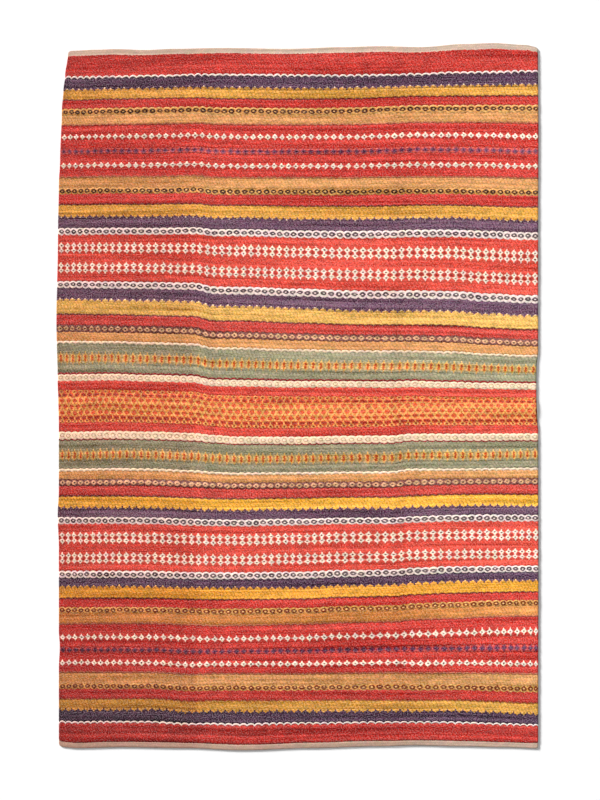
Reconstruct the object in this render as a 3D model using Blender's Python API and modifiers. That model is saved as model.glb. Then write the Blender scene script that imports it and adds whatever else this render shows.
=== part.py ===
"""A flat-woven jute kilim lying on the ground: one cloth with turned hems and a few old folds."""

import math

import bmesh
import bpy
import numpy as np

# Driving sizes, in metres. X runs across the rug, Y along it, and the underside rests on Z = 0.
CLOTH_WIDTH = 1.600
CLOTH_LENGTH = 2.347
CLOTH_THICK = 0.0050
HEM_DEPTH = 0.019
HEM_THICK = 0.0042
HEM_STEP = 0.004
RIM_RADIUS = 0.0016
RIM_ANGLE = math.radians(50)

# Where the cloth's four edges draw in from its outermost points.
# Columns: distance along the edge, inset. Sides run from the +Y end, ends run from the -X side.
LEFT_SIDE = (
    (0.000, 0.027),
    (0.160, 0.025),
    (0.220, 0.018),
    (0.390, 0.012),
    (0.470, 0.008),
    (0.640, 0.005),
    (0.930, 0.000),
    (1.120, 0.004),
    (1.220, 0.008),
    (1.480, 0.008),
    (1.570, 0.004),
    (1.670, 0.008),
    (1.950, 0.008),
    (2.000, 0.011),
    (2.080, 0.008),
    (2.347, 0.008),
)
RIGHT_SIDE = (
    (0.000, 0.002),
    (0.300, 0.000),
    (0.620, 0.001),
    (1.020, 0.001),
    (1.080, 0.007),
    (1.230, 0.007),
    (1.290, 0.001),
    (1.700, 0.000),
    (2.347, 0.001),
)
TOP_END = (
    (0.000, 0.026),
    (0.100, 0.022),
    (0.160, 0.020),
    (0.260, 0.023),
    (0.360, 0.019),
    (0.530, 0.016),
    (0.735, 0.019),
    (0.935, 0.013),
    (1.060, 0.010),
    (1.205, 0.013),
    (1.355, 0.003),
    (1.455, 0.000),
    (1.555, 0.006),
    (1.600, 0.014),
)
BOTTOM_END = (
    (0.000, 0.012),
    (0.060, 0.007),
    (0.210, 0.010),
    (0.430, 0.007),
    (0.610, 0.000),
    (0.835, 0.007),
    (1.060, 0.013),
    (1.180, 0.016),
    (1.335, 0.013),
    (1.480, 0.010),
    (1.600, 0.006),
)

# Rounding of the four corners, by side and end.
CORNER_RADIUS = {
    ("left", "top"): 0.026,
    ("right", "top"): 0.010,
    ("left", "bottom"): 0.012,
    ("right", "bottom"): 0.008,
}

# Soft folds that lift the cloth off the ground. The two long ones are where it was folded in three.
# Columns: name, start X, start Y, end X, end Y, height, half width.
FOLDS = (
    ("third on the left, far end", -0.312, 1.130, -0.316, 0.640, 0.0022, 0.045),
    ("third on the left, middle", -0.316, 0.640, -0.308, -0.300, 0.0048, 0.050),
    ("third on the left, near end", -0.308, -0.300, -0.300, -1.130, 0.0020, 0.045),
    ("third on the right, far end", 0.306, 1.130, 0.302, 0.500, 0.0018, 0.045),
    ("third on the right, middle", 0.302, 0.500, 0.318, -0.420, 0.0036, 0.045),
    ("third on the right, near end", 0.318, -0.420, 0.330, -1.130, 0.0018, 0.045),
    ("ripple beside the right edge", 0.380, -0.905, 0.690, -0.922, 0.0042, 0.036),
    ("ripple at the near end", -0.420, -1.085, -0.130, -1.100, 0.0050, 0.040),
    ("ripple at the left edge", -0.800, 0.300, -0.560, 0.285, 0.0030, 0.045),
    ("ripple at the right edge", 0.560, -0.050, 0.800, -0.035, 0.0036, 0.045),
)

# Grid lines of the cloth: even steps, closer ones over the folds, at the hems and in the corners.
COLUMN_STEP = 0.048
ROW_STEP = 0.054
FOLD_COLUMNS = (-0.380, -0.345, -0.312, -0.280, -0.245, 0.250, 0.282, 0.312, 0.345, 0.380)
FOLD_ROWS = (-1.100, -0.945, -0.917, -0.890)
CORNER_STEPS = (0.003, 0.010, 0.022)
LEAST_SPACING = 0.45

CLOTH_COLOR = (0.62, 0.065, 0.045, 1.0)
CLOTH_ROUGHNESS = 0.92


def clear_scene():
    for obj in list(bpy.data.objects):
        bpy.data.objects.remove(obj, do_unlink=True)


def eased(table, places):
    """Reads the second column of a table at each place, easing from row to row with no sharp turn."""
    stations, values = np.array(table).T
    row = np.clip(np.searchsorted(stations, places, side="right") - 1, 0, len(stations) - 2)
    share = np.clip((places - stations[row]) / (stations[row + 1] - stations[row]), 0.0, 1.0)
    share = share * share * (3.0 - 2.0 * share)
    return values[row] + (values[row + 1] - values[row]) * share


def corner_drop(distance, radius):
    """How far a round corner of this radius falls back from the end, at a distance from the side."""
    reach = np.clip(radius - distance, 0.0, radius)
    return radius - np.sqrt(radius * radius - reach * reach)


def end_inset(table, across, end):
    """Inset of one end of the cloth at each distance from the -X side, with both its corners rounded."""
    inset = eased(table, across)
    inset = inset + corner_drop(across, CORNER_RADIUS["left", end])
    return inset + corner_drop(CLOTH_WIDTH - across, CORNER_RADIUS["right", end])


def fold_lift(x, y):
    """Height of the underside above the ground: a cosine bump for each fold, dying away past its ends."""
    lift = np.zeros(np.broadcast(x, y).shape)
    for _, start_x, start_y, end_x, end_y, height, half_width in FOLDS:
        run_x = end_x - start_x
        run_y = end_y - start_y
        length = math.hypot(run_x, run_y)
        along = ((x - start_x) * run_x + (y - start_y) * run_y) / length
        beyond = np.maximum(0.0, np.maximum(-along, along - length))
        aside = ((x - start_x) * run_y - (y - start_y) * run_x) / length
        away = np.clip(np.hypot(aside, beyond) / half_width, 0.0, 1.0)
        lift = np.maximum(lift, height * 0.5 * (1.0 + np.cos(math.pi * away)))
    return lift


def grid_lines(extent, step, extra, fine_ends):
    """Sorted grid lines from 0 to the extent: the extra ones, and the even ones not too near to them."""
    fixed = [0.0, extent]
    for offset in fine_ends:
        fixed += [offset, extent - offset]
    fixed += [line + extent / 2 for line in extra]
    even = np.linspace(0.0, extent, round(extent / step) + 1)
    kept = [line for line in even if min(abs(line - other) for other in fixed) > step * LEAST_SPACING]
    return np.array(sorted(fixed + kept))


def cloth_columns():
    return grid_lines(CLOTH_WIDTH, COLUMN_STEP, FOLD_COLUMNS, CORNER_STEPS)


def cloth_rows():
    fine_ends = (HEM_DEPTH, HEM_DEPTH + HEM_STEP)
    return grid_lines(CLOTH_LENGTH, ROW_STEP, [-row for row in FOLD_ROWS], fine_ends)


def place_underside(mesh_data, columns, rows):
    """Moves a square grid's points to the cloth's underside, and marks how thick the cloth is at each."""
    thick = mesh_data.verts.layers.deform.verify()
    for point in mesh_data.verts:
        column = round((point.co.x + 1.0) / 2.0 * (len(columns) - 1))
        row = round((1.0 - point.co.y) / 2.0 * (len(rows) - 1))
        across = columns[column]
        down = rows[row]
        left = -CLOTH_WIDTH / 2 + eased(LEFT_SIDE, down)
        right = CLOTH_WIDTH / 2 - eased(RIGHT_SIDE, down)
        top = CLOTH_LENGTH / 2 - end_inset(TOP_END, across, "top")
        bottom = -CLOTH_LENGTH / 2 + end_inset(BOTTOM_END, across, "bottom")
        x = left + (right - left) * across / CLOTH_WIDTH
        y = top + (bottom - top) * down / CLOTH_LENGTH
        point.co = (x, y, float(fold_lift(x, y)))
        from_end = min(down, CLOTH_LENGTH - down)
        point[thick][0] = 1.0 if from_end > HEM_DEPTH + HEM_STEP / 2 else 0.0


def fabric_material():
    material = bpy.data.materials.new("woven_jute")
    material.use_nodes = True
    shader = material.node_tree.nodes["Principled BSDF"]
    shader.inputs["Base Color"].default_value = CLOTH_COLOR
    shader.inputs["Roughness"].default_value = CLOTH_ROUGHNESS
    shader.inputs["Metallic"].default_value = 0.0
    return material


def build_kilim(collection):
    columns = cloth_columns()
    rows = cloth_rows()
    cloth = bmesh.new()
    bmesh.ops.create_grid(cloth, x_segments=len(columns) - 1, y_segments=len(rows) - 1, size=1.0)
    place_underside(cloth, columns, rows)
    mesh = bpy.data.meshes.new("kilim")
    cloth.to_mesh(mesh)
    cloth.free()

    kilim = bpy.data.objects.new("kilim", mesh)
    collection.objects.link(kilim)
    mesh.materials.append(fabric_material())
    kilim.vertex_groups.new(name="full_thickness")

    thickness = kilim.modifiers.new("thickness", "SOLIDIFY")
    thickness.thickness = CLOTH_THICK
    thickness.offset = 1.0
    thickness.use_even_offset = True
    thickness.vertex_group = "full_thickness"
    thickness.thickness_vertex_group = HEM_THICK / CLOTH_THICK

    rim = kilim.modifiers.new("rounded_rim", "BEVEL")
    rim.width = RIM_RADIUS
    rim.segments = 2
    rim.limit_method = "ANGLE"
    rim.angle_limit = RIM_ANGLE
    mesh.shade_smooth()
    return kilim


def main():
    clear_scene()
    collection = bpy.data.collections.new("Jute kilim")
    bpy.context.scene.collection.children.link(collection)
    build_kilim(collection)


main()
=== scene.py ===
import math

import bpy
import numpy as np
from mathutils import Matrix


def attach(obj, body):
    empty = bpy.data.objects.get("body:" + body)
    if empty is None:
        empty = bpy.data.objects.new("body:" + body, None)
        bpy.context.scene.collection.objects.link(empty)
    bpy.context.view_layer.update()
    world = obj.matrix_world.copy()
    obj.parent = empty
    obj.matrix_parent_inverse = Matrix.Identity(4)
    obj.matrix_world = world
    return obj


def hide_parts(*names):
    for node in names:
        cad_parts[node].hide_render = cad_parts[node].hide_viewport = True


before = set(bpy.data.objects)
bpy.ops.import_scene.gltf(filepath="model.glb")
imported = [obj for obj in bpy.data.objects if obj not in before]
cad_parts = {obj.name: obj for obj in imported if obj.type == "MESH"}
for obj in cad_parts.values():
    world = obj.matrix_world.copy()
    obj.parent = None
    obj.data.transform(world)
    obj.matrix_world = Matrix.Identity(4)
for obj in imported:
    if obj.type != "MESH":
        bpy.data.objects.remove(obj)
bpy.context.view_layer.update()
print("frame loaded")

# How the cloth lies, in metres: its size, its thickness, and the round of its edges.
lay = {
    "width": 1.600,
    "length": 2.347,
    "middle": 0.808,  # distance from the left side of the line that the stripes are measured on
    "thick": 0.0050,
    "hemThick": 0.0042,
    "edgeRound": 0.0030,
    "sharpAngle": 65.0,  # degrees, from which an edge isn't shaded smooth
    "cornerFade": 0.060,
    "leftTopCorner": 0.012,
    "rightTopCorner": 0.010,
    "leftBottomCorner": 0.012,
    "rightBottomCorner": 0.008,
}

# Distance along an edge, and how far the cloth draws in there. Sides run from the far end, ends from the
# left.
leftSide = ((0.0, 0.041), (0.046, 0.037), (0.106, 0.029), (0.160, 0.023), (0.220, 0.018), (0.390, 0.012),
            (0.470, 0.008), (0.640, 0.005), (0.930, 0.0), (1.120, 0.004), (1.220, 0.008), (1.480, 0.008),
            (1.570, 0.004), (1.670, 0.008), (1.950, 0.008), (2.000, 0.011), (2.080, 0.008), (2.347, 0.008))
rightSide = ((0.0, 0.002), (0.300, 0.0), (0.620, 0.001), (1.020, 0.001), (1.080, 0.007), (1.230, 0.007),
             (1.290, 0.001), (1.700, 0.0), (2.347, 0.001))
farEnd = ((0.0, 0.026), (0.100, 0.022), (0.160, 0.020), (0.260, 0.023), (0.360, 0.019), (0.530, 0.016),
          (0.735, 0.019), (0.935, 0.013), (1.060, 0.010), (1.205, 0.013), (1.355, 0.003), (1.455, 0.0),
          (1.555, 0.006), (1.600, 0.014))
nearEnd = ((0.0, 0.012), (0.060, 0.007), (0.210, 0.010), (0.430, 0.007), (0.610, 0.0), (0.835, 0.007),
           (1.060, 0.013), (1.180, 0.016), (1.335, 0.013), (1.480, 0.010), (1.600, 0.006))

# Soft folds: start x, start y, end x, end y, height, half width.
folds = (
    (-0.312, 1.130, -0.316, 0.640, 0.0011, 0.045),  # the long fold on the left third
    (-0.316, 0.640, -0.308, -0.300, 0.0016, 0.050),
    (-0.308, -0.300, -0.300, -1.130, 0.0010, 0.045),
    (0.306, 1.130, 0.302, 0.500, 0.0009, 0.045),  # the long fold on the right third
    (0.302, 0.500, 0.318, -0.420, 0.0014, 0.045),
    (0.318, -0.420, 0.330, -1.130, 0.0009, 0.045),
    (0.380, -0.905, 0.690, -0.922, 0.0021, 0.036),  # ripples
    (-0.420, -1.085, -0.130, -1.100, 0.0025, 0.040),
    (-0.800, 0.300, -0.560, 0.285, 0.0015, 0.045),
    (0.560, -0.050, 0.800, -0.035, 0.0018, 0.045),
)

# How far the weft sways towards the near end, in millimetres against the middle line. Each row: distance
# from the far end in metres, then the sway at each of these distances from the left side.
swayPlaces = (0.050, 0.170, 0.310, 0.452, 0.522, 0.600, 0.808, 0.960, 1.114, 1.180, 1.313, 1.440, 1.560)
sway = (
    (0.060, 7, 5, 2, -2, -3, -2, 0, 1, -1, -3, -9, -11, -14),
    (0.193, 2, -1, -3, -5, -2, -2, 0, -2, -7, -10, -10, -11, -11),
    (0.325, 0, -2, -3, -6, -1, 0, 0, 0, -3, -7, -6, -4, -1),
    (0.458, -2, -5, -4, -7, -1, 0, 0, 0, -2, -3, -3, -1, 2),
    (0.591, -8, -9, -9, -11, -4, -5, 0, 1, 0, -3, -4, 0, 5),
    (0.724, -17, -17, -16, -15, -6, -5, 0, 4, 5, 3, 6, 13, 18),
    (0.857, -30, -28, -26, -23, -8, -7, 0, 7, 9, 8, 10, 18, 24),
    (0.989, -28, -27, -24, -20, -6, -6, 0, 3, 4, 4, 7, 14, 19),
    (1.122, -22, -24, -20, -17, -5, -4, 0, 0, 1, -1, 2, 5, 6),
    (1.255, -18, -21, -18, -14, -7, -1, 0, -4, -5, -10, -10, -10, -10),
    (1.388, -12, -14, -13, -7, -2, 1, 0, -2, -3, -12, -12, -13, -15),
    (1.521, -6, -6, -5, 0, 2, 3, 0, -3, -3, -7, -12, -14, -12),
    (1.653, -2, -3, -2, 2, 4, 4, 0, -4, -5, -11, -13, -13, -14),
    (1.786, -3, -4, -3, 1, 1, 1, 0, -6, -9, -14, -20, -22, -23),
    (1.919, -1, -2, -2, 2, 5, 4, 0, -6, -9, -15, -19, -25, -27),
    (2.052, -5, -5, -4, 3, 0, 0, 0, -2, -4, -2, -3, -2, 0),
    (2.185, -5, -5, -6, 3, 0, 1, 0, -1, -1, 0, -1, 4, 9),
)

# Count of woven repeats at distances from the left side. Figures are centred on the half counts.
repeatPlaces = ((0.0, 0.90), (0.0948, 5.5), (0.2045, 10.5), (0.3250, 15.5), (0.4474, 20.5),
                (0.5682, 25.5), (0.6904, 30.5), (0.8088, 35.5), (0.9356, 40.5), (1.0671, 45.5),
                (1.1982, 50.5), (1.3283, 55.5), (1.4538, 60.5), (1.5686, 65.5), (1.6, 66.96))

# How far the warps lean to the right, in millimetres, set out as the sway is.
leanPlaces = (0.0, 0.095, 0.325, 0.568, 0.809, 0.936, 1.198, 1.454, 1.569, 1.600)
lean = (
    (0.0, 0, 0, 3, 2, 4, 4, -4, -5, 0, 0),
    (0.30, 0, -1, 3, 2, 4, 4, -4, -5, 0, 0),
    (0.70, 0, 0, 2, 3, 0, 3, -1, -4, -4, 0),
    (1.36, 0, 0, -2, -7, -9, -12, -6, -5, -5, 0),
    (1.66, 0, -2, -4, -5, -5, -8, -3, 0, -2, 0),
    (2.00, 0, 1, -1, -1, 2, 0, 7, 8, 5, 0),
    (2.324, 0, 1, -1, -1, 2, 0, 7, 8, 5, 0),
)

# The yarns' dyes, as 0 to 255 screen colours.
yarns = {
    "undyed": (214, 186, 166), "jute": (206, 171, 151), "madder": (201, 68, 59), "scarlet": (218, 83, 69),
    "vermilion": (207, 80, 70), "crimson": (158, 46, 48), "carmine": (202, 80, 72), "maroon": (124, 62, 54),
    "plum": (114, 83, 100), "mulberry": (96, 68, 87), "soot": (80, 60, 66), "mustard": (222, 159, 75),
    "saffron": (235, 180, 98), "marigold": (242, 174, 68), "amber": (234, 160, 62), "tan": (219, 154, 98),
    "camel": (203, 130, 72), "ochre": (214, 152, 88), "mauve": (118, 54, 80), "straw": (224, 168, 92),
    "russet": (196, 90, 40), "coral": (210, 90, 78), "copper": (176, 96, 62), "chestnut": (126, 58, 26),
    "sand": (232, 178, 112), "slate": (132, 84, 76), "umber": (72, 34, 20), "taupe": (180, 106, 80),
    "sage": (156, 148, 119), "moss": (148, 139, 111), "rust": (224, 98, 64), "brick": (166, 58, 38),
    "honey": (238, 170, 96), "cream": (247, 216, 184), "chalk": (245, 220, 211), "peach": (226, 170, 130),
    "ivory": (247, 226, 206), "oxblood": (108, 34, 38), "heather": (142, 72, 94), "fawn": (190, 150, 116),
    "olive": (108, 80, 70),
}

# The undyed and pale yarns take less of the rug's wear and painted shade.
wearAndShadeShare = {"chalk": 0.35, "cream": 0.35, "ivory": 0.35, "undyed": 0.6, "jute": 0.6, "peach": 0.6,
             "tan": 0.8, "camel": 0.8, "honey": 0.8, "ochre": 0.8}

# The weaver's plan from either end to the middle. Each row: weave, ground yarn, figure yarn, dot yarn,
# depth in the far half, depth in the near half, in millimetres. A row with one yarn has it for all three.
# Two names with a stroke between them are the yarns of the far and the near half.
weavingPlan = (
    ("hem", "undyed/jute", 19.0, 19.0),
    ("plain", "madder", 70.5, 61.0),
    ("cord", "chalk", 6.0, 5.5),
    ("plain", "mulberry", 32.0, 31.5),
    ("teeth", "mulberry", "mustard", "cream/mustard", 14.0, 13.5),
    ("plain", "mustard", 27.5, 27.0),
    ("line", "maroon/copper", 4.0, 3.5),
    ("plain", "madder", 28.0, 32.5),
    ("chain", "ochre", "umber/chestnut", "sand", 22.0, 17.5),
    ("plain", "tan", 30.0, 34.5),
    ("line", "taupe", 5.0, 5.0),
    ("plain", "madder", 28.0, 20.0),
    ("diamonds", "madder", "ivory", "olive", 20.0, 20.5),
    ("plain", "madder", 28.0, 24.0),
    ("dimDiamonds", "coral/carmine", "heather/mauve", "mulberry", 20.0, 18.0),
    ("plain", "madder", 28.5, 20.5),
    ("diamonds", "madder", "ivory", "olive", 20.0, 28.0),
    ("plain", "madder", 26.0, 28.5),
    ("line", "taupe", 5.0, 5.0),
    ("plain", "tan/camel", 34.5, 33.0),
    ("chain", "ochre", "umber/chestnut", "sand", 19.5, 18.0),
    ("plain", "madder", 35.5, 27.0),
    ("line", "maroon", 4.5, 4.0),
    ("plain", "mustard/amber", 34.0, 31.0),
    ("teethBack", "plum/mulberry", "mustard/amber", "cream/sand", 13.0, 12.0),
    ("plain", "plum/mulberry", 32.5, 24.5),
    ("chain", "chalk", "soot", "chalk", 22.0, 21.0),
    ("plain", "scarlet", 27.5, 22.5),
    ("twinDiamonds", "scarlet", "ivory", "oxblood", 43.0, 42.5),
    ("plain", "scarlet", 24.5, 25.0),
    ("twinDiamonds", "scarlet", "ivory", "oxblood", 48.0, 40.5),
    ("plain", "scarlet", 27.5, 25.5),
    ("chain", "chalk", "soot", "chalk", 23.5, 20.0),
    ("plain", "plum", 34.5, 23.5),
    ("teeth", "plum", "saffron/marigold", "cream/sand", 13.0, 17.0),
    ("plain", "saffron/marigold", 40.5, 26.5),
    ("line", "maroon", 4.5, 4.5),
    ("plain", "vermilion", 32.0, 30.0),
    ("beads", "slate", "peach", "umber", 22.5, 20.0),
    ("plain", "tan", 30.5, 25.5),
    ("line", "cream", 7.5, 7.5),
    ("plain", "sage/moss", 24.0, 24.5),
    ("lozenges", "sage/moss", "straw", "russet", 44.0, 41.0),
    ("plain", "sage/moss", 24.0, 26.0),
    ("edging", "crimson", 5.5, 3.5),
    ("fineChain", "cream", "fawn", "cream", 20.5, 22.5),
    ("plain", "scarlet", 30.5, 28.5),
)
middleBand = ("net", "rust", "honey", "brick", 105.5)


def screenColour(values):
    # Screen values to linear light: below 0.04045 divided by 12.92, above it raised to 2.4.
    share = np.array(values, float) / 255.0
    linear = np.where(share <= 0.04045, share / 12.92, ((share + 0.055) / 1.055) ** 2.4)
    return (*linear, 1.0)


def yarnColour(name):
    # A yarn's linear colour, with its share of the wear and painted shade as the fourth value.
    return (*screenColour(yarns[name])[:3], wearAndShadeShare.get(name, 1.0))


def easedSteps(stations, places):
    # The station at or before each place, and the eased share of the way to the next: 3t^2 - 2t^3.
    stations = np.asarray(stations, float)
    index = np.clip(np.searchsorted(stations, places, side="right") - 1, 0, len(stations) - 2)
    share = np.clip((places - stations[index]) / (stations[index + 1] - stations[index]), 0.0, 1.0)
    return index, share * share * (3.0 - 2.0 * share)


def eased(table, places):
    # Second column of a table at each place, eased from row to row.
    stations, values = np.array(table, float).T
    index, share = easedSteps(stations, places)
    return values[index] + (values[index + 1] - values[index]) * share


def roundDrop(distance, radius):
    # A quarter circle: how far it has fallen at a distance from where it ends.
    reach = np.clip(radius - distance, 0.0, radius)
    return radius - np.sqrt(radius * radius - reach * reach)


def foldLift(x, y):
    # Height of the highest cosine bump there; each runs along a fold and dies away past its ends.
    lift = np.zeros_like(x)
    for startX, startY, endX, endY, height, halfWidth in folds:
        runX, runY = endX - startX, endY - startY
        length = math.hypot(runX, runY)
        along = ((x - startX) * runX + (y - startY) * runY) / length
        beyond = np.maximum(0.0, np.maximum(-along, along - length))
        aside = ((x - startX) * runY - (y - startY) * runX) / length
        away = np.clip(np.hypot(aside, beyond) / halfWidth, 0.0, 1.0)
        lift = np.maximum(lift, height * 0.5 * (1.0 + np.cos(np.pi * away)))
    return lift


def easedTable(rowStations, columnStations, values, rowPlaces, columnPlaces):
    # A table's values at every pair of places, eased from row to row and from column to column.
    rowIndex, rowShare = easedSteps(rowStations, rowPlaces)
    columnIndex, columnShare = easedSteps(columnStations, columnPlaces)
    values = np.asarray(values, float)
    lines = values[:, columnIndex] * (1.0 - columnShare) + values[:, columnIndex + 1] * columnShare
    rowShare = rowShare[:, None]
    return lines[rowIndex] * (1.0 - rowShare) + lines[rowIndex + 1] * rowShare


def softNoise(rowPlaces, columnPlaces, rowReach, columnReach, seed):
    # Random numbers from -1 to 1 on a coarse grid, eased between its lines.
    rows, columns = rowPlaces / rowReach, columnPlaces / columnReach
    rng = np.random.default_rng(seed)
    grid = rng.uniform(-1.0, 1.0, (int(rows.max()) + 2, int(columns.max()) + 2))
    return easedTable(np.arange(grid.shape[0]), np.arange(grid.shape[1]), grid, rows, columns)


# The grid of the weave: lines across each repeat and one line for each weft row, in metres. Heights are of
# the floats, the figured bands and the seams between bands.
weave = {
    "linesPerRepeat": 8,
    "floatsPerRepeat": 2,
    "sideLines": (0.0, 0.0009, 0.0022),
    "endLines": (0.0, 0.0009, 0.0022),
    "weftDepth": 0.0033,
    "floatHeight": 0.00025,
    "figureHeight": 0.0006,
    "seamDepth": 0.0004,
    "wobble": 0.0007,
    "wobbleReach": (0.012, 0.070),
    "jog": 0.0006,
    "sideClear": 0.004,  # even steps stay this far from the sides
    "endFlat": 0.010,  # relief, waves and wobble fade this near the ends
    "floatStep": 0.16,  # share of a float that each weft row lies aside from the row before
    "floatUneven": 0.6,
    "waveUneven": 0.35,
    "waveUnevenReach": (0.030, 0.045),
    "swell": 0.0004,
    "swellReach": (0.020, 0.035),
    "hemJog": 2.5,  # the hem's stitches bring more of it there
    "waveReach": 0.0060,
    # How far the far and the near edge of a band move at the middle of a repeat, towards the near end.
    "edgeWaves": {"chain": (-0.0020, 0.0020), "fineChain": (-0.0014, 0.0014), "beads": (-0.0016, 0.0016),
                  "line": (-0.0014, -0.0014), "cord": (-0.0027, -0.0027), "edging": (-0.0015, -0.0015)},
}


def layBands():
    # The whole plan in order: far half, middle, then the near half reversed, in metres. The last value of a
    # band is the way its figure faces.
    halves = []
    for half, facing in ((0, 1), (-1, -1)):
        rows = []
        for kind, *named, farDepth, nearDepth in weavingPlan:
            ground, figure, dot = (yarn.split("/")[half] for yarn in (named * 3)[:3])
            rows.append((kind, ground, figure, dot, (farDepth, nearDepth)[half] / 1000, facing))
        halves.append(rows)
    kind, ground, figure, dot, depth = middleBand
    return halves[0] + [(kind, ground, figure, dot, depth / 1000, 1)] + halves[1][::-1]


def layColumns():
    # Even steps of each repeat, and a few lines close to each side for the round of the edge.
    places, counts = np.array(repeatPlaces).T
    steps = weave["linesPerRepeat"]
    inner = np.arange(math.ceil(counts[0] * steps), math.floor(counts[-1] * steps) + 1) / steps
    at = np.interp(inner, counts, places)
    clear = (at > weave["sideClear"]) & (at < lay["width"] - weave["sideClear"])
    side = np.array(weave["sideLines"])
    columns = np.concatenate([side, at[clear], lay["width"] - side[::-1]])
    return columns, np.interp(columns, places, counts)


def layRows(bands):
    # A line at the far edge of each band and one along the middle of each of its weft rows. Returns the
    # lines, the count of weft rows at each, the band of each step and the first line of each band.
    downs, counts, bandOfStep, firstLines = [], [], [], []
    down = count = 0.0
    for number, band in enumerate(bands):
        wefts = max(1, round(band[4] / weave["weftDepth"]))
        rows = np.arange(wefts) + 0.5
        edge = [0.0]
        if number == 0:
            edge = [place / band[4] * wefts for place in weave["endLines"]]
        if number == len(bands) - 1:
            last = [wefts * (1 - place / band[4]) for place in weave["endLines"][:0:-1]]
            rows = np.concatenate([rows, last])
        rows = np.unique(np.concatenate([edge, rows]))
        firstLines.append(len(downs))
        downs += list(down + rows / wefts * band[4])
        counts += list(count + rows)
        bandOfStep += [number] * len(rows)
        down += band[4]
        count += wefts
    firstLines.append(len(downs))
    return np.array(downs + [down]), np.array(counts + [count]), np.array(bandOfStep), np.array(firstLines)


bands = layBands()
across, repeatCount = layColumns()
down, weftCount, bandOfStep, firstLine = layRows(bands)
print("grid:", len(down), "lines along,", len(across), "across,", int(weftCount[-1]), "weft rows")


def waveAmounts():
    # The edge between two bands takes the larger of their two waves. Inside a band the waves of its edges
    # fade as powers of the distance from the other edge, so they meet without a step.
    edges = np.zeros(len(bands) + 1)
    for number, band in enumerate(bands):
        turn = band[5] if band[0] == "edging" else 1
        for edge, wave in zip((number, number + 1), weave["edgeWaves"].get(band[0], (0.0, 0.0))):
            if abs(wave) > abs(edges[edge]):
                edges[edge] = wave * turn
    amounts = np.zeros_like(down)
    for number, band in enumerate(bands):
        lines = slice(firstLine[number], firstLine[number + 1] + 1)
        share = np.clip((down[lines] - down[firstLine[number]]) / band[4], 0.0, 1.0)
        power = max(1.0, band[4] / weave["waveReach"])
        amounts[lines] = edges[number] * (1.0 - share) ** power + edges[number + 1] * share**power
    return amounts


def figureRise():
    # How high the figured bands stand at each line: a half ellipse over the band's depth.
    rise = np.zeros_like(down)
    for number, band in enumerate(bands):
        if band[0] in ("plain", "hem"):
            continue
        first, last = firstLine[number], firstLine[number + 1]
        middle = (down[first] + down[last]) / 2
        part = np.clip(1.0 - ((down - middle) / (band[4] / 2)) ** 2, 0.0, 1.0)
        rise = np.maximum(rise, np.sqrt(part))
    return rise


def easedGrid(rowPlaces, columnPlaces, values):
    # A table of values eased both ways onto the cloth's grid.
    return easedTable(rowPlaces, columnPlaces, values, down, across)


def swayOf():
    # The sway table on the grid, fading over its outer rows into the outlines of the two ends.
    table = np.array(sway, float)
    stations = np.concatenate([[0.0], table[:, 0], [down[-1]]])
    inner = np.vstack([np.zeros(len(swayPlaces)), table[:, 1:] / 1000, np.zeros(len(swayPlaces))])
    ends = np.zeros((len(stations), 1))
    farInset = eased(farEnd, across) - eased(farEnd, lay["middle"])
    nearInset = eased(nearEnd, lay["middle"]) - eased(nearEnd, across)
    ends[0] = 1.0
    farShare = easedGrid(stations, (0.0, lay["width"]), np.tile(ends, 2))
    nearShare = easedGrid(stations, (0.0, lay["width"]), np.tile(ends[::-1], 2))
    return easedGrid(stations, swayPlaces, inner) + farShare * farInset + nearShare * nearInset


def cornerSway():
    # The four round corners pull the first and last rows in, and fade away from the ends.
    right = lay["width"] - across
    far = roundDrop(across, lay["leftTopCorner"]) + roundDrop(right, lay["rightTopCorner"])
    near = roundDrop(across, lay["leftBottomCorner"]) + roundDrop(right, lay["rightBottomCorner"])
    farFade = np.clip(1.0 - down / lay["cornerFade"], 0.0, 1.0)[:, None]
    nearFade = np.clip(1.0 - (down[-1] - down) / lay["cornerFade"], 0.0, 1.0)[:, None]
    return far * farFade - near * nearFade


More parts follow.
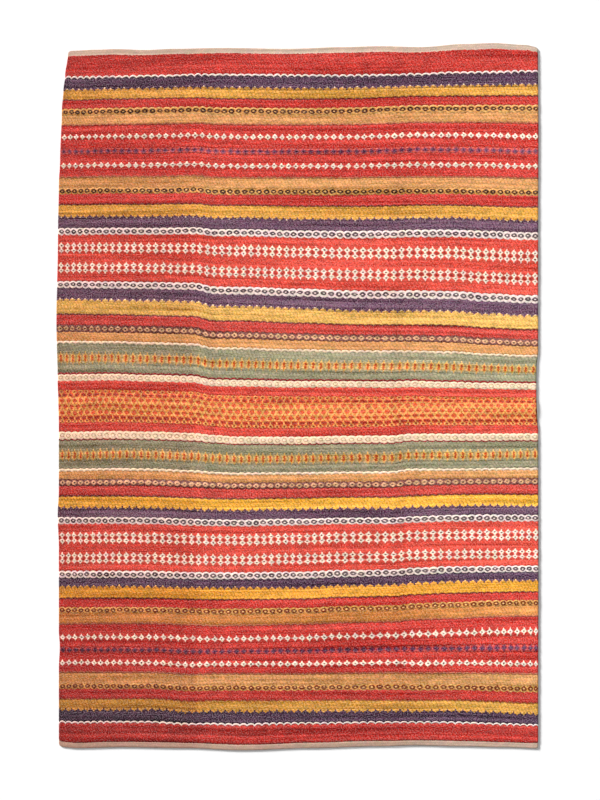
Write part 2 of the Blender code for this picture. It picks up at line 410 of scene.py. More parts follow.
def layCloth():
    # x and y from the outline, sway, lean and waves; z is fold, thickness and relief, less the round of the
    # edges.
    offCentre = repeatCount % 1.0 - 0.5
    scallop = 1.0 - 8.0 * offCentre**2
    rng = np.random.default_rng(21)
    wobble = weave["wobble"] * softNoise(down, across, *weave["wobbleReach"], 11)
    uneven = 1.0 + weave["waveUneven"] * softNoise(down, across, *weave["waveUnevenReach"], 12)
    inner = np.clip(np.minimum(down, down[-1] - down) / weave["endFlat"], 0.0, 1.0)[:, None]
    jog = np.zeros((len(down), len(across)))
    jog[firstLine] = rng.uniform(-weave["jog"], weave["jog"], (len(firstLine), len(across)))
    jog[firstLine[[1, -2]]] *= weave["hemJog"]
    shift = scallop * waveAmounts()[:, None] * uneven + wobble + jog
    shift = shift * inner + swayOf() + cornerSway()
    startY = lay["length"] / 2 - eased(farEnd, lay["middle"])
    y = startY - down[:, None] - shift
    fromFar = np.clip(lay["length"] / 2 - y, 0.0, lay["length"])
    leftInset = eased(leftSide, fromFar)
    rightInset = eased(rightSide, fromFar)
    x = -lay["width"] / 2 + leftInset + (lay["width"] - leftInset - rightInset) * across / lay["width"]
    table = np.array(lean)
    x = x + easedGrid(table[:, 0], leanPlaces, table[:, 1:] / 1000)
    under = foldLift(x, y)

    endDistance = np.minimum(down, down[-1] - down)[:, None]
    sideDistance = np.minimum(across, lay["width"] - across)[None, :]
    isHem = np.array([band[0] == "hem" for band in bands])[np.append(bandOfStep, bandOfStep[-1])]
    thick = np.where(isHem, lay["hemThick"], lay["thick"])[:, None]
    # The floats of each weft row lie a sixth of a float aside from the row before: minus the cosine of
    # their count.
    floats = weave["floatsPerRepeat"] * repeatCount - weave["floatStep"] * np.floor(weftCount)[:, None]
    relief = -0.5 * weave["floatHeight"] * np.cos(2.0 * np.pi * floats)
    relief *= 1.0 + rng.uniform(-weave["floatUneven"], weave["floatUneven"], relief.shape)
    relief[firstLine] = -weave["seamDepth"]
    relief += weave["figureHeight"] * figureRise()[:, None] * (0.6 + 0.4 * scallop)
    relief += weave["swell"] * softNoise(down, across, *weave["swellReach"], 14)
    drop = roundDrop(endDistance, lay["edgeRound"]) + roundDrop(sideDistance, lay["edgeRound"])
    top = under + thick + relief * inner - np.minimum(drop, lay["edgeRound"])
    return x, y, under, top


clothX, clothY, clothUnder, clothTop = layCloth()
print("cloth laid out")


def feed(tree, socket, value):
    # A number or a row of numbers becomes the socket's own value, and anything else is linked to it.
    if isinstance(value, (int, float, tuple)):
        socket.default_value = value
    else:
        tree.links.new(value, socket)


def addObject(name, data):
    item = bpy.data.objects.new(name, data)
    bpy.context.scene.collection.objects.link(item)
    return item


def addMath(tree, operation, *values, kind="ShaderNodeMath"):
    node = tree.nodes.new(kind)
    node.operation = operation
    for socket, value in zip(node.inputs, values):
        feed(tree, socket, value)
    return node.outputs[0]


# Arithmetic on sockets: product, difference, sum, the larger, size without sign, and product plus a third.
def times(tree, *values):
    return addMath(tree, "MULTIPLY", *values)


def minus(tree, *values):
    return addMath(tree, "SUBTRACT", *values)


def plus(tree, *values):
    return addMath(tree, "ADD", *values)


def larger(tree, *values):
    return addMath(tree, "MAXIMUM", *values)


def sizeOf(tree, *values):
    return addMath(tree, "ABSOLUTE", *values)


def timesPlus(tree, *values):
    return addMath(tree, "MULTIPLY_ADD", *values)


def addVector(tree, operation, *values):
    return addMath(tree, operation, *values, kind="ShaderNodeVectorMath")


def addInside(tree, distance, edge, soft):
    # 1 where the distance is under the edge, 0 past it, smooth between.
    node = tree.nodes.new("ShaderNodeMapRange")
    node.interpolation_type = "SMOOTHSTEP"
    limits = (("From Min", edge - soft), ("From Max", edge + soft), ("To Min", 1.0), ("To Max", 0.0))
    for name, value in limits:
        node.inputs[name].default_value = value
    tree.links.new(distance, node.inputs["Value"])
    return node.outputs["Result"]


def addOval(tree, x, y, halfWidth, halfDepth, power=2.0):
    # (|x| / halfWidth)^power + (|y| / halfDepth)^power: 1 on the outline. Power 2 is an oval, under 1 a
    # star.
    parts = []
    for value, half in ((x, halfWidth), (y, halfDepth)):
        share = addMath(tree, "DIVIDE", sizeOf(tree, value), half)
        parts.append(addMath(tree, "POWER", share, power))
    return plus(tree, *parts)


def addMix(tree, share, first, second):
    node = tree.nodes.new("ShaderNodeMix")
    node.data_type = "RGBA"
    for socket, value in ((node.inputs[0], share), (node.inputs[6], first), (node.inputs[7], second)):
        feed(tree, socket, value)
    return node.outputs[2]


def addPlace(tree, x, y):
    node = tree.nodes.new("ShaderNodeCombineXYZ")
    for socket, value in zip(node.inputs, (x, y)):
        feed(tree, socket, value)
    return node.outputs[0]


def addNoise(tree, place, scale, detail):
    node = tree.nodes.new("ShaderNodeTexNoise")
    node.inputs["Scale"].default_value = scale
    node.inputs["Detail"].default_value = detail
    tree.links.new(place, node.inputs["Vector"])
    return node.outputs


def addChance(tree, x, y):
    # Three random numbers for each whole step of x and y, and a fourth.
    node = tree.nodes.new("ShaderNodeTexWhiteNoise")
    node.noise_dimensions = "2D"
    tree.links.new(addPlace(tree, addMath(tree, "FLOOR", x), y), node.inputs["Vector"])
    split = tree.nodes.new("ShaderNodeSeparateColor")
    tree.links.new(node.outputs["Color"], split.inputs[0])
    return node.outputs["Color"], [*split.outputs[:3], node.outputs["Value"]]


def addFactor(tree, light, source, amount):
    # light * (1 - amount / 2 + amount * source): brighter and darker by half the amount.
    return times(tree, timesPlus(tree, source, amount, 1.0 - amount / 2), light)


def addPale(tree, colour, amount):
    # The same amount added to all three channels, which stay above the darkest one allowed.
    return addVector(tree, "MAXIMUM", addVector(tree, "ADD", colour, amount), (yarnLook["darkest"],) * 3)


def addAgeAndShadeTint(tree, colour, agedAndShaded):
    # Each channel times 1 + (tone - 1) * its tint, where tone is the wear and painted shade across the rug.
    toneDrop = minus(tree, agedAndShaded, 1.0)
    share = addVector(tree, "MULTIPLY_ADD", toneDrop, yarnLook["ageAndShadeTint"], (1.0, 1.0, 1.0))
    return addVector(tree, "MULTIPLY", colour, share)


def addTint(tree, colour, source, amount):
    # Each channel times 1 - amount / 2 + amount * source, so that the hue drifts.
    share = addVector(tree, "MULTIPLY_ADD", source, (amount,) * 3, (1.0 - amount / 2,) * 3)
    return addVector(tree, "MULTIPLY", colour, share)


# Shapes in the motifs: half width and half depth as shares of a repeat, power, and softness of the outline.
motifShapes = {
    "chainRing": (0.44, 0.27, 1.7, 0.25),
    "chainHole": (0.15, 0.070, 2.0, 0.4),
    "fineRing": (0.34, 0.24, 2.0, 0.22),
    "fineHole": (0.25, 0.155, 2.0, 0.30),
    "bead": (0.44, 0.29, 1.3, 0.22),
    "beadHole": (0.14, 0.08, 2.0, 0.5),
    "starBody": (0.41, 0.31, 1.25, 0.2),
    "starTip": (0.14, 0.48, 1.7, 0.3),
    "starDot": (0.135, 0.080, 2.0, 0.5),
    "dimBody": (0.46, 0.34, 1.3, 0.4),
    "dimTip": (0.20, 0.50, 1.2, 0.5),
    "dimDot": (0.20, 0.12, 2.0, 0.7),
    "twinJoint": (0.13, 0.22, 2.0, 0.4),
    "twinPatch": (0.22, 0.20, 2.0, 0.5),
    "toothGap": (0.11, 0.12, 2.0, 0.3),
    "toothStitch": (0.10, 0.08, 2.0, 0.5),
    "lozengeTip": (0.10, 0.95, 2.0, 0.3),
    "lozengeHaze": (0.34, 0.62, 2.0, 0.6),
    "lozengeLobe": (0.17, 0.24, 2.0, 0.35),
    "netSmall": (0.38, 0.30, 1.2, 0.25),
    "netDash": (0.38, 0.14, 2.0, 0.4),
    "netHole": (0.18, 0.14, 2.0, 0.5),
    "netKnot": (0.09, 0.08, 2.0, 0.5),
}


def shapeIn(tree, x, y, name):
    # 1 inside the named shape, 0 outside it, smooth between.
    halfWidth, halfDepth, power, soft = motifShapes[name]
    return addInside(tree, addOval(tree, x, y, halfWidth, halfDepth, power), 1.0, soft)


def drawNothing(tree, x, y):
    # A band with no figure.
    return None, None


def drawChain(tree, x, y):
    # An oval ring round a light centre, between light rims.
    rim = addInside(tree, minus(tree, 0.37, sizeOf(tree, y)), 0.0, 0.03)
    hole = shapeIn(tree, x, y, "chainHole")
    return shapeIn(tree, x, y, "chainRing"), larger(tree, hole, rim)


def drawFineChain(tree, x, y):
    # A thin oval ring.
    return shapeIn(tree, x, y, "fineRing"), shapeIn(tree, x, y, "fineHole")


def drawBeads(tree, x, y):
    # Pointed ovals with a small dark centre.
    return shapeIn(tree, x, y, "bead"), shapeIn(tree, x, y, "beadHole")


def drawStar(tree, x, y, thread):
    # A pointed oval with a narrow tip above and below, joined to the next by a thread, and its centre dot.
    body = shapeIn(tree, x, y, "starBody")
    tip = shapeIn(tree, x, y, "starTip")
    figure = larger(tree, body, tip)
    line = times(tree, addInside(tree, sizeOf(tree, y), 0.035, 0.035), thread)
    return larger(tree, figure, line), shapeIn(tree, x, y, "starDot")


def drawDiamonds(tree, x, y):
    # One row of stars.
    return drawStar(tree, x, y, 0.70)


def drawDimDiamonds(tree, x, y):
    # A row of blurred stars with a large dark centre.
    body = shapeIn(tree, x, y, "dimBody")
    tip = shapeIn(tree, x, y, "dimTip")
    return larger(tree, body, tip), shapeIn(tree, x, y, "dimDot")


def drawTwinDiamonds(tree, x, y):
    # Two rows of stars joined tip to tip by a pale stitch, with dark patches between the columns.
    depth = minus(tree, sizeOf(tree, y), 0.37)
    star, dot = drawStar(tree, x, depth, 0.45)
    star = larger(tree, star, shapeIn(tree, x, y, "twinJoint"))
    aside = minus(tree, sizeOf(tree, x), 0.5)
    patch = shapeIn(tree, aside, y, "twinPatch")
    return star, larger(tree, dot, times(tree, patch, 0.5))


def drawTeeth(tree, x, y):
    # The figure's yarn comes in from the near side with a tooth in each repeat: its edge is 0.38 |x| -
    # 0.10. Each tooth ends in a pale stitch, and the ground's yarn stands up between the teeth.
    width = sizeOf(tree, x)
    edge = timesPlus(tree, width, 0.38, -0.10)
    figure = addInside(tree, minus(tree, edge, y), 0.0, 0.03)
    peak = shapeIn(tree, minus(tree, width, 0.5), minus(tree, y, 0.12), "toothGap")
    figure = times(tree, figure, minus(tree, 1.0, peak))
    return figure, shapeIn(tree, x, plus(tree, y, 0.11), "toothStitch")


def drawLozenges(tree, x, y):
    # Tall six-sided outlines with a thin tip at both ends and a core of two lobes, and faint patches
    # between.
    width, height = sizeOf(tree, x), sizeOf(tree, y)
    slope = timesPlus(tree, width, 1.3, times(tree, height, 1.45))
    body = larger(tree, addMath(tree, "DIVIDE", width, 0.37), slope)
    figure = larger(tree, addInside(tree, body, 1.0, 0.20), shapeIn(tree, x, y, "lozengeTip"))
    aside = minus(tree, width, 0.5)
    haze = times(tree, shapeIn(tree, aside, y, "lozengeHaze"), 0.42)
    lobe = shapeIn(tree, x, minus(tree, height, 0.19), "lozengeLobe")
    return larger(tree, figure, haze), lobe


def drawNet(tree, x, y):
    # Two sets of slanting lines leave rows of patches in the ground's yarn, set half a repeat aside in
    # turn. Past them on both sides come a row of dashes and a row of small diamonds with dark centres.
    width, height = sizeOf(tree, x), sizeOf(tree, y)
    along = addMath(tree, "DIVIDE", y, 0.82)
    away = []
    for operation in ("SUBTRACT", "ADD"):
        slanted = addMath(tree, operation, along, times(tree, width, 2.0))
        phase = addMath(tree, "FRACT", timesPlus(tree, slanted, 0.5, 8.5))
        away.append(sizeOf(tree, minus(tree, phase, 0.5)))
    offRow = addMath(tree, "FRACT", plus(tree, along, 8.5))
    offRow = sizeOf(tree, minus(tree, offRow, 0.5))
    cell = addInside(tree, minus(tree, 0.12, addMath(tree, "MINIMUM", *away)), 0.0, 0.05)
    patch = timesPlus(tree, addInside(tree, offRow, 0.32, 0.06), 0.5, 0.5)
    inner = addInside(tree, height, 1.24, 0.06)
    lattice = times(tree, inner, minus(tree, 1.0, times(tree, cell, patch)))
    fromSmall = minus(tree, height, 1.95)
    small = shapeIn(tree, x, fromSmall, "netSmall")
    outer = minus(tree, addInside(tree, height, 2.22, 0.04), inner)
    strand = times(tree, addInside(tree, width, 0.08, 0.05), outer)
    figure = larger(tree, larger(tree, lattice, small), strand)
    aside = minus(tree, width, 0.5)
    dash = shapeIn(tree, aside, minus(tree, height, 1.51), "netDash")
    hole = shapeIn(tree, x, fromSmall, "netHole")
    knot = shapeIn(tree, x, minus(tree, height, 0.42), "netKnot")
    dots = larger(tree, larger(tree, dash, hole), times(tree, knot, 0.6))
    return figure, dots


# How the yarn looks close by. Amounts are shares of the colour, heights are in metres, and a stretch is the
# noise's steps for each repeat or each weft row.
yarnLook = {
    "ragged": 0.10,
    "motifShift": 0.07,
    "motifVary": 0.10,
    "floatVary": 0.30,
    "floatTint": 0.16,
    "fibreVary": 0.42,
    "patchVary": 0.22,
    "patchTint": 0.14,
    "rowVary": 1.50,
    "ribVary": 0.55,
    # painted shade in the crevices between floats
    "creviceShade": 0.35,
    # pale fluff, and painted highlights on the fibres
    "fuzzAndHighlight": 0.54,
    "rowDust": 0.18,
    # how the hue turns with the wear and painted shade
    "ageAndShadeTint": (-0.05, 0.40, 0.46),
    "darkest": 0.004,
    "dimmest": 0.15,
    "seamReach": 0.045,
    "seamRagged": 0.03,
    "fibreStretch": 6.0,
    "fuzzAndHighlightStretch": 6.8,
    "rowStretch": 0.12,
    "ribStretch": 0.15,
    "patchScale": 24.0,
    "rowShift": 0.4,
    "floatSlant": 0.3,
    "floatHalves": (0.50, 0.75),
    "floatHeight": 0.0010,
    "fibreHeight": 0.35,
    "bump": 0.18,
    "roughness": 0.88,
    "roughVary": 0.16,
    "gloss": 0.04,
}


def wovenMaterial(name, draw, fine=1.0):
    material = bpy.data.materials.new(name)
    material.use_nodes = True
    tree = material.node_tree
    shader = tree.nodes["Principled BSDF"]
    places, values = {}, {}
    for label in ("weave", "figure"):
        source = tree.nodes.new("ShaderNodeUVMap")
        source.uv_map = label
        split = tree.nodes.new("ShaderNodeSeparateXYZ")
        tree.links.new(source.outputs[0], split.inputs[0])
        places[label] = split.outputs
    for label in ("groundYarn", "figureYarn", "dotYarn", "wearAndShade", "agedAndShaded", "halfDepth", "seams", "grain"):
        source = tree.nodes.new("ShaderNodeAttribute")
        source.attribute_name = label
        values[label] = source.outputs

    # Each weft row is a line of floats, a sixth of a float and a random shift aside from the row before.
    # Their height is the root of 1 - (x / 0.50)^2 - (y / 0.75)^2, a little slanted as the yarn's twist is.
    count, wefts = places["weave"][0], times(tree, places["weave"][1], fine)
    weft = addMath(tree, "FLOOR", wefts)
    aside = times(tree, weft, -weave["floatStep"])
    aside = timesPlus(tree, addChance(tree, 7.0, weft)[1][0], yarnLook["rowShift"], aside)
    floats = timesPlus(tree, count, weave["floatsPerRepeat"] * fine, aside)
    tint, lots = addChance(tree, floats, weft)
    floatX = minus(tree, addMath(tree, "FRACT", floats), 0.5)
    floatY = minus(tree, addMath(tree, "FRACT", wefts), 0.5)
    slant = timesPlus(tree, floatX, yarnLook["floatSlant"], floatY)
    dome = minus(tree, 1.0, addOval(tree, floatX, slant, *yarnLook["floatHalves"]))
    dome = larger(tree, dome, 0.0)
    hump = addMath(tree, "SQRT", dome)

    # Fibres and weft rows have noise stretched across the rug, ribs have noise stretched along it, and worn
    # patches have noise that is not stretched.
    stretched = {}
    for label, scale, detail in (("fibre", 1.0, 3.0), ("row", 0.3, 3.0), ("fuzzAndHighlight", 0.9, 2.0)):
        along = times(tree, count, yarnLook[label + "Stretch"])
        stretched[label] = addNoise(tree, addPlace(tree, along, wefts), scale, detail)["Fac"]
    fibre, rows, fuzzAndHighlight = stretched.values()
    ribDown = times(tree, wefts, yarnLook["ribStretch"])
    ribs = addNoise(tree, addPlace(tree, count, ribDown), 1.0, 3.0)["Fac"]
    place = tree.nodes.new("ShaderNodeTexCoord").outputs["Object"]
    patch = addNoise(tree, place, yarnLook["patchScale"], 3.0)

    # The figure, with each motif and each float a little out of place.
    ragged, shifted = yarnLook["ragged"], yarnLook["motifShift"]
    motifLots = addChance(tree, places["figure"][0], values["halfDepth"]["Fac"])[1]
    moved = []
    for axis, start in ((0, -0.5), (1, 0.0)):
        jog = timesPlus(tree, lots[axis], ragged, start - ragged / 2 - shifted / 2)
        moved.append(timesPlus(tree, motifLots[axis], shifted, jog))
    x = plus(tree, addMath(tree, "FRACT", places["figure"][0]), moved[0])
    y = plus(tree, places["figure"][1], moved[1])
    figureShare, dotShare = draw(tree, x, y)
    # Each yarn darkens with the rug's wear and painted shade, by its own share.
    wornAndShaded = minus(tree, values["wearAndShade"]["Fac"], 1.0)
    dyed = []
    for label in ("groundYarn", "figureYarn", "dotYarn"):
        light = timesPlus(tree, wornAndShaded, values[label]["Alpha"], 1.0)
        dyed.append(addVector(tree, "MULTIPLY", values[label]["Color"], light))
    colour = dyed[0]
    if figureShare is not None:
        vary = yarnLook["motifVary"]
        firm = timesPlus(tree, motifLots[2], -vary, 1.0)
        figureShare = times(tree, figureShare, firm)
        colour = addMix(tree, figureShare, colour, dyed[1])
        colour = addMix(tree, dotShare, colour, dyed[2])

    # The hue turns a little with age and painted shade, and varies float by float and in patches.
    # Brightness varies by float, fibre, patch, row and rib, and drops with painted shade in the crevices
    # between floats and at a seam. Fluff, dusty rows and painted highlights on the fibres add grey.
    colour = addAgeAndShadeTint(tree, colour, values["agedAndShaded"]["Fac"])
    colour = addTint(tree, colour, tint, yarnLook["floatTint"])
    colour = addTint(tree, colour, patch["Color"], yarnLook["patchTint"])
    light = 1.0
    varied = ((lots[3], "floatVary"), (fibre, "fibreVary"), (patch["Fac"], "patchVary"),
              (rows, "rowVary"), (ribs, "ribVary"), (dome, "creviceShade"))
    for source, amount in varied:
        light = addFactor(tree, light, source, yarnLook[amount])
    uneven = times(tree, minus(tree, light, 1.0), values["grain"]["Fac"])
    light = larger(tree, plus(tree, uneven, 1.0), yarnLook["dimmest"])
    # Painted shade in the crevice along a band's edge where it meets a band of another yarn.
    fromMiddle = sizeOf(tree, places["figure"][1])
    toSeam = minus(tree, values["halfDepth"]["Fac"], fromMiddle)
    toSeam = timesPlus(tree, lots[2], -yarnLook["seamRagged"], toSeam)
    sides = tree.nodes.new("ShaderNodeSeparateXYZ")
    tree.links.new(values["seams"]["Vector"], sides.inputs[0])
    isHigh = addMath(tree, "GREATER_THAN", places["figure"][1], 0.0)
    dark = plus(tree, times(tree, isHigh, sides.outputs[1]),
                   times(tree, minus(tree, 1.0, isHigh), sides.outputs[0]))
    toSeam = addMath(tree, "DIVIDE", toSeam, sides.outputs[2])
    seam = times(tree, addInside(tree, toSeam, yarnLook["seamReach"], yarnLook["seamReach"]), dark)
    light = times(tree, light, minus(tree, 1.0, seam))
    # Pale fluff with painted highlights on the fibres, and dusty rows, shift all three channels alike.
    dust = timesPlus(tree, rows, yarnLook["rowDust"], -0.5 - yarnLook["rowDust"] / 2)
    fluffAndHighlight = times(tree, plus(tree, fuzzAndHighlight, dust), yarnLook["fuzzAndHighlight"])
    fluffAndHighlight = times(tree, fluffAndHighlight, values["grain"]["Fac"])
    colour = addPale(tree, addVector(tree, "MULTIPLY", colour, light), fluffAndHighlight)
    tree.links.new(colour, shader.inputs["Base Color"])

    height = timesPlus(tree, fibre, yarnLook["fibreHeight"], hump)
    bump = tree.nodes.new("ShaderNodeBump")
    bump.inputs["Strength"].default_value = yarnLook["bump"]
    bump.inputs["Distance"].default_value = yarnLook["floatHeight"]
    tree.links.new(height, bump.inputs["Height"])
    tree.links.new(bump.outputs[0], shader.inputs["Normal"])
    roughVary = yarnLook["roughVary"]
    rough = timesPlus(tree, fibre, roughVary, yarnLook["roughness"] - roughVary / 2)
    tree.links.new(rough, shader.inputs["Roughness"])
    shader.inputs["Specular IOR Level"].default_value = yarnLook["gloss"]
    return material


weaves = {
    "plain": wovenMaterial("plainWeave", drawNothing),
    "line": wovenMaterial("lineWeave", drawNothing),
    "hem": wovenMaterial("hemWeave", drawNothing, 2.0),
    "chain": wovenMaterial("chainWeave", drawChain),
    "fineChain": wovenMaterial("fineChainWeave", drawFineChain),
    "beads": wovenMaterial("beadWeave", drawBeads),
    "diamonds": wovenMaterial("diamondWeave", drawDiamonds),
    "dimDiamonds": wovenMaterial("dimDiamondWeave", drawDimDiamonds),
    "twinDiamonds": wovenMaterial("twinDiamondWeave", drawTwinDiamonds),
    "teeth": wovenMaterial("teethWeave", drawTeeth),
    "lozenges": wovenMaterial("lozengeWeave", drawLozenges),
    "net": wovenMaterial("netWeave", drawNet),
}
weaves["teethBack"] = weaves["teeth"]
weaves["edging"] = weaves["cord"] = weaves["line"]
print("materials:", len(weaves) - 3)

# Painted shade in the crevice where a band meets one of another yarn: how much it darkens, by weave, else
# by yarn, else as usual. seamLook holds the usual amount and the narrow and wide reach; the wide one is on
# the yarns that have their own amount. Grain is how uneven a band's colour is, by weave, else by yarn, else
# 1.
seamShadeByWeave = {"line": 0.10, "cord": 0.05, "edging": 0.10, "chain": 0.12, "fineChain": 0.12, "hem": 0.10,
            "teeth": 0.0, "teethBack": 0.0}
seamShadeByYarn = {"mulberry": 0.82, "plum": 0.50}
seamLook = {"usual": 0.34, "narrow": 1.0, "wide": 2.2}
grain = {"mustard": 1.1, "saffron": 1.1, "marigold": 1.1, "amber": 1.1, "plum": 1.15, "mulberry": 1.2,
         "chalk": 0.5, "cream": 0.5, "undyed": 0.5, "jute": 0.5, "twinDiamonds": 0.6, "diamonds": 0.7}


def seamsOf(number):
    # Painted shade at a band's first and last line. There is none where it meets its own yarn.
    band = bands[number]
    amounts = []
    for other in (max(number - 1, 0), min(number + 1, len(bands) - 1)):
        same = band[1] in bands[other][1:4] or bands[other][1] in band[1:4]
        amounts.append(0.0 if same else seamShadeByWeave.get(band[0], seamShadeByYarn.get(band[1], seamLook["usual"])))
    return amounts


# Worn tone and painted shade along the rug, and across it at three distances: shares of the dye's
# brightness.
wearAndShadeAlong = ((0.0, 0.90), (0.03, 0.88), (0.08, 0.97), (0.15, 0.94), (0.30, 1.02), (0.50, 0.97),
             (0.80, 0.97), (1.20, 0.95), (1.50, 0.94), (1.85, 0.97), (2.00, 0.90), (2.10, 0.82),
             (2.20, 0.75), (2.250, 0.75), (2.268, 0.63), (2.274, 0.64), (2.284, 0.86), (2.292, 0.84),
             (2.301, 0.57), (2.308, 0.70), (2.324, 0.70))
wearAndShadePlaces = (0.0, 0.44, 0.50, 0.95, 1.10, 1.30, 1.60)
wearAndShadeAcross = (
    (0.0, 0.85, 0.90, 1.01, 1.01, 1.00, 1.04, 1.06),
    (1.2, 0.80, 0.87, 1.01, 1.01, 1.00, 1.09, 1.13),
    (2.324, 0.74, 0.78, 1.00, 1.02, 1.01, 1.15, 1.20),
)


# Painted shade, and some dirt, at the cloth's rim: it darkens with the distance from it, more along the
# right side and the near end, where it turns under away from the light.
rimDark = {"left": 0.40, "far": 0.55, "right": 0.35, "near": 0.50}
rimReach = {"left": 0.0060, "far": 0.0042, "right": 0.0022, "near": 0.0036}


# Where the OFBake map lies in its square: the top over most of it, the underside in a strip below.
bakeMap = {
    "left": 0.01,
    "width": 0.98,
    "topStart": 0.18,
    "topDepth": 0.80,
    "underStart": 0.02,
    "underDepth": 0.14,
}


def buildSection(name, firstBand, lastBand):
    # A closed piece of the cloth from one band's first line to another's last. Its top has every grid line.
    # Its underside has one step for each band and each repeat. Its walls are faces with one edge for each
    # top step.
    start, end = firstLine[firstBand], firstLine[lastBand + 1]
    rows = np.arange(start, end + 1)
    columns = np.arange(len(across))
    underRows = firstLine[firstBand:lastBand + 2]
    whole = np.flatnonzero(np.abs(repeatCount - np.round(repeatCount)) < 1e-6)
    underColumns = np.concatenate([[0], whole, [columns[-1]]])
    topX, topY, topZ = (grid[start:end + 1] for grid in (clothX, clothY, clothTop))
    underAt = np.ix_(underRows, underColumns)
    topPoints = np.stack([topX, topY, topZ], -1).reshape(-1, 3)
    underPoints = np.stack([clothX[underAt], clothY[underAt], clothUnder[underAt]], -1).reshape(-1, 3)
    points = np.vstack([topPoints, underPoints])
    top = np.arange(len(topPoints)).reshape(len(rows), len(columns))
    under = len(topPoints) + np.arange(len(underPoints)).reshape(len(underRows), len(underColumns))
    topFaces = np.stack([top[1:, :-1], top[1:, 1:], top[:-1, 1:], top[:-1, :-1]], -1).reshape(-1, 4)
    underFaces = np.stack([under[1:, :-1], under[:-1, :-1], under[:-1, 1:], under[1:, 1:]], -1)
    faces = topFaces.tolist() + underFaces.reshape(-1, 4).tolist()
    faceBands = np.concatenate([
        np.repeat(bandOfStep[start:end], len(columns) - 1),
        np.repeat(np.arange(firstBand, lastBand + 1), len(underColumns) - 1),
    ]).tolist()
    for step, (a, b) in enumerate(zip(underRows[:-1] - start, underRows[1:] - start)):
        faces.append([*top[a:b + 1, 0].tolist(), under[step + 1, 0], under[step, 0]])
        faces.append([*top[a:b + 1, -1][::-1].tolist(), under[step, -1], under[step + 1, -1]])
        faceBands += [firstBand + step] * 2
    for step, (a, b) in enumerate(zip(underColumns[:-1], underColumns[1:])):
        faces.append([*top[0, a:b + 1][::-1].tolist(), under[0, step], under[0, step + 1]])
        faces.append([*top[-1, a:b + 1].tolist(), under[-1, step + 1], under[-1, step]])
        faceBands += [firstBand, lastBand]
    mesh = bpy.data.meshes.new(name)
    mesh.from_pydata(points, [], faces)

    # Every point's grid line, for the maps.
    faceBands = np.array(faceBands)
    lineOfPoint = np.concatenate([np.repeat(rows, len(columns)), np.repeat(underRows, len(underColumns))])
    columnOfPoint = np.concatenate([np.tile(columns, len(rows)), np.tile(underColumns, len(underRows))])
    corners = np.empty(len(mesh.loops), np.int32)
    mesh.loops.foreach_get("vertex_index", corners)
    sizes = np.empty(len(mesh.polygons), np.int32)
    mesh.polygons.foreach_get("loop_total", sizes)
    cornerBand = np.repeat(faceBands, sizes)
    line, column = lineOfPoint[corners], columnOfPoint[corners]
    middles = (down[firstLine[:-1]] + down[firstLine[1:]]) / 2
    facing = np.array([-1 if band[0] == "teethBack" else 1 for band in bands])
    facing = facing * np.array([band[5] for band in bands])
    repeatSize = lay["width"] / (repeatCount[-1] - repeatCount[0])
    rise = (down[line] - middles[cornerBand]) / repeatSize * facing[cornerBand]
    isUnder = corners >= len(topPoints)
    share = (down[line] - down[start]) / (down[end] - down[start])
    bakeX = bakeMap["left"] + bakeMap["width"] * across[column] / lay["width"]
    underY = bakeMap["underStart"] + bakeMap["underDepth"] * share
    bakeY = np.where(isUnder, underY, bakeMap["topStart"] + bakeMap["topDepth"] * share)
    maps = {
        "weave": (repeatCount[column], weftCount[line]),
        "figure": (repeatCount[column], rise),
        "OFBake": (bakeX, bakeY),
    }
    for label, values in maps.items():
        layer = mesh.uv_layers.new(name=label)
        layer.uv.foreach_set("vector", np.stack(values, -1).astype(np.float32).ravel())
    for label, number in (("groundYarn", 1), ("figureYarn", 2), ("dotYarn", 3)):
        dyes = np.array([yarnColour(band[number]) for band in bands], np.float32)
        layer = mesh.attributes.new(label, "FLOAT_COLOR", "FACE")
        layer.data.foreach_set("color", dyes[faceBands].ravel())
    halves = np.array([band[4] / 2 / repeatSize for band in bands], np.float32)
    grains = np.array([grain.get(band[0], grain.get(band[1], 1.0)) for band in bands], np.float32)
    for label, numbers in (("halfDepth", halves), ("grain", grains)):
        layer = mesh.attributes.new(label, "FLOAT", "FACE")
        layer.data.foreach_set("value", numbers[faceBands])
    seams = np.zeros((len(bands), 3), np.float32)
    for number in range(len(bands)):
        seams[number, :2] = seamsOf(number)[::facing[number]]
        seams[number, 2] = seamLook["wide" if bands[number][1] in seamShadeByYarn else "narrow"]
    layer = mesh.attributes.new("seams", "FLOAT_VECTOR", "FACE")
    layer.data.foreach_set("vector", seams[faceBands].ravel())
    # Wear and painted shade from the tables along and across the rug.
    table = np.array(wearAndShadeAcross)
    agedAndShaded = easedGrid(table[:, 0], wearAndShadePlaces, table[:, 1:])
    wearAndShade = (agedAndShaded * eased(wearAndShadeAlong, down)[:, None])[lineOfPoint, columnOfPoint]
    edges = {
        "left": across[columnOfPoint],
        "right": lay["width"] - across[columnOfPoint],
        "far": down[lineOfPoint],
        "near": down[-1] - down[lineOfPoint],
    }
    # Painted shade, and some dirt, darkening towards each rim.
    for edge, distance in edges.items():
        wearAndShade *= 1.0 - rimDark[edge] * np.exp(-distance / rimReach[edge])
    for label, numbers in (("wearAndShade", wearAndShade), ("agedAndShaded", agedAndShaded[lineOfPoint, columnOfPoint])):
        layer = mesh.attributes.new(label, "FLOAT", "POINT")
        layer.data.foreach_set("value", numbers.astype(np.float32))

    kinds = sorted({bands[number][0] for number in range(firstBand, lastBand + 1)})
    for kind in kinds:
        mesh.materials.append(weaves[kind])
    slots = np.array([kinds.index(band[0]) if band[0] in kinds else 0 for band in bands], np.int32)
    mesh.polygons.foreach_set("material_index", slots[faceBands])
    mesh.update()
    mesh.validate()
    mesh.shade_smooth()
    mesh.set_sharp_from_angle(angle=math.radians(lay["sharpAngle"]))
    piece = addObject(name, mesh)
    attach(piece, "root")
    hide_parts("kilim")
    print(name, len(mesh.polygons), "faces")
    return piece


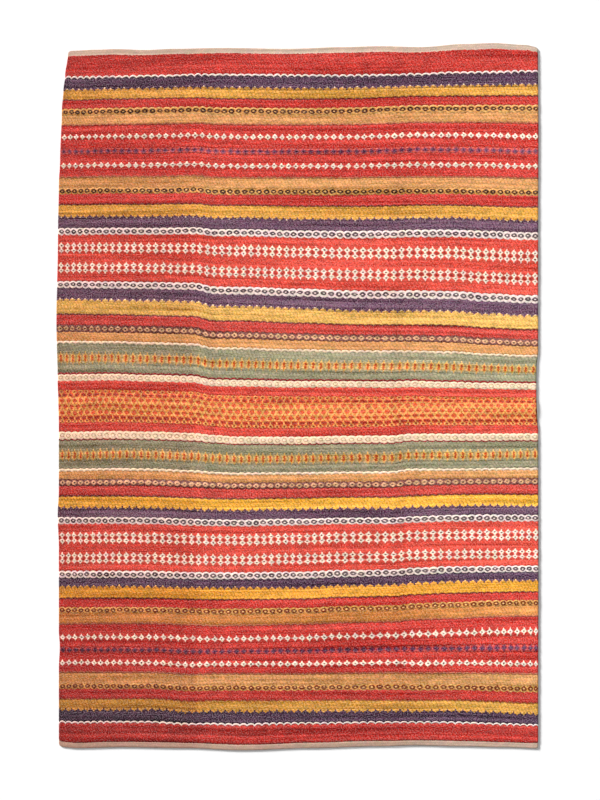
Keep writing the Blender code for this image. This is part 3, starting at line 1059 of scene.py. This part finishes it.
# The cloth in five lengths that meet at the edge of a band: name, first and last band.
lengths = (
    ("farEndLength", 0, 20),
    ("farBrightLength", 21, 39),
    ("middleLength", 40, 53),
    ("nearBrightLength", 54, 74),
    ("nearEndLength", 75, 94),
)
for name, firstBand, lastBand in lengths:
    buildSection(name, firstBand, lastBand)


# Camera straight above, at the photo's framing.
view = {
    "millimetresPerPixel": 3.32,
    "frameWidth": 600,
    "frameHeight": 800,
    "rugCentreX": 297.5,
    "rugCentreY": 396.5,
    "height": 4.5,
    "sensorWidth": 36.0,
}


def addCamera():
    scale = view["millimetresPerPixel"] / 1000
    camera = bpy.data.cameras.new("cameraAbove")
    camera.sensor_width = view["sensorWidth"]
    camera.lens = camera.sensor_width * view["height"] / (view["frameHeight"] * scale)
    item = addObject("cameraAbove", camera)
    item.location = (
        (view["frameWidth"] / 2 - view["rugCentreX"]) * scale,
        (view["rugCentreY"] - view["frameHeight"] / 2) * scale,
        view["height"],
    )
    bpy.context.scene.camera = item


# Even studio light: a pale room, a wide lamp overhead, and a lower one at the upper left for the edge's
# shadow.
studio = {
    "room": 0.13,
    "overhead": 0.74,
    "overheadSpread": 70.0,
    "side": 7.90,
    "sideSpread": 12.0,
    "sideHeight": 17.0,
    "sideTurn": 138.0,
    "floorSize": 60.0,
    "floorColour": (247, 247, 247),
    "floorRoughness": 0.9,
}


def addSun(name, strength, spread, height, turn):
    lamp = bpy.data.lights.new(name, "SUN")
    lamp.energy = strength
    lamp.angle = math.radians(spread)
    item = addObject(name, lamp)
    item.rotation_euler = (math.radians(90.0 - height), 0.0, math.radians(turn + 90.0))


def addStudio():
    world = bpy.data.worlds.new("paleRoom")
    world.use_nodes = True
    world.node_tree.nodes["Background"].inputs["Strength"].default_value = studio["room"]
    world.node_tree.nodes["Background"].inputs["Color"].default_value = (1.0, 1.0, 1.0, 1.0)
    bpy.context.scene.world = world
    addSun("overheadLamp", studio["overhead"], studio["overheadSpread"], 90.0, 0.0)
    addSun("sideLamp", studio["side"], studio["sideSpread"], studio["sideHeight"], studio["sideTurn"])
    half = studio["floorSize"] / 2
    mesh = bpy.data.meshes.new("paleFloor")
    corners = [(-half, -half, 0), (half, -half, 0), (half, half, 0), (-half, half, 0)]
    mesh.from_pydata(corners, [], [(0, 1, 2, 3)])
    material = bpy.data.materials.new("paleFloor")
    material.use_nodes = True
    shader = material.node_tree.nodes["Principled BSDF"]
    shader.inputs["Base Color"].default_value = screenColour(studio["floorColour"])
    shader.inputs["Roughness"].default_value = studio["floorRoughness"]
    mesh.materials.append(material)
    floor = addObject("paleFloor", mesh)
    bpy.context.scene.view_settings.view_transform = "Standard"


addCamera()
addStudio()
print("camera and light set")
